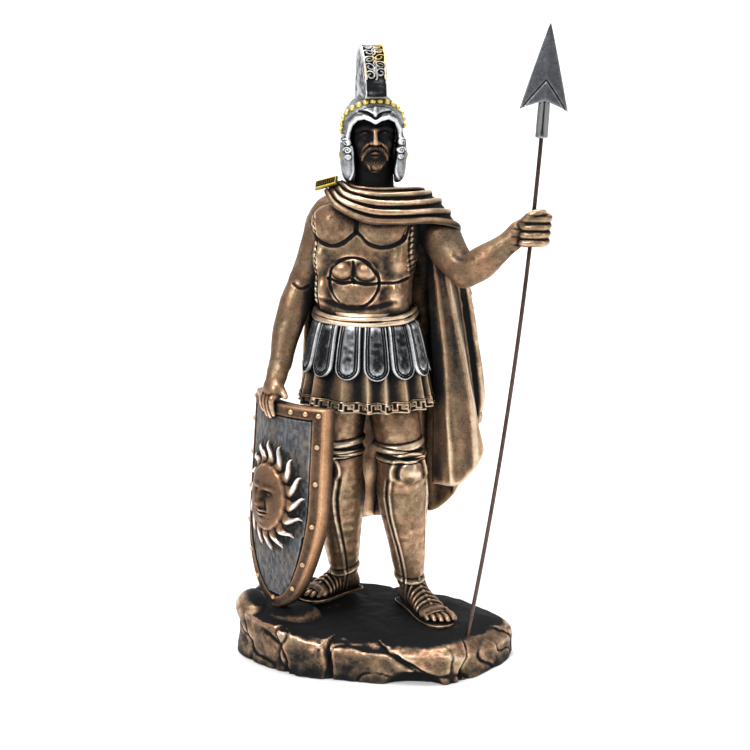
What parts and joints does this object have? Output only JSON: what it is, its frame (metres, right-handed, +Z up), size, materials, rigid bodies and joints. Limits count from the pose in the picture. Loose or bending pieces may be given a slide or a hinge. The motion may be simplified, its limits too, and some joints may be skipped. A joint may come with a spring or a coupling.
{
  "type": "warrior figurine",
  "caption": "Cast figurine of a helmeted warrior in a muscle cuirass and cloak on a rock base, one hand on a long pointed shield and the other round a thin upright spear.",
  "frame": {"origin": "centre of the rock's flat underside, on the surface the figurine stands on", "axes": "+Z up, from the underside to the spear's tip; -Y towards the viewer, the way the figure faces; +X to the viewer's right, the side of the spear"},
  "size_m": [0.1504, 0.0883, 0.2943],
  "materials": {
    "antique_bronze": "copper and bronze metallic paint rubbed over a black patina on cast resin, satin",
    "antique_silver": "silver metallic paint over black on cast resin, with a rubbed copper rim and emblem, satin",
    "dark_wire": "dark brown paint on steel wire, satin",
    "grey_steel": "brushed grey cast metal with dark recesses"
  },
  "bodies": {
    "root": {"warrior": "antique_bronze", "shield": "antique_silver", "spear_shaft": "dark_wire", "spear_head": "grey_steel"}
  },
  "joints": []
}
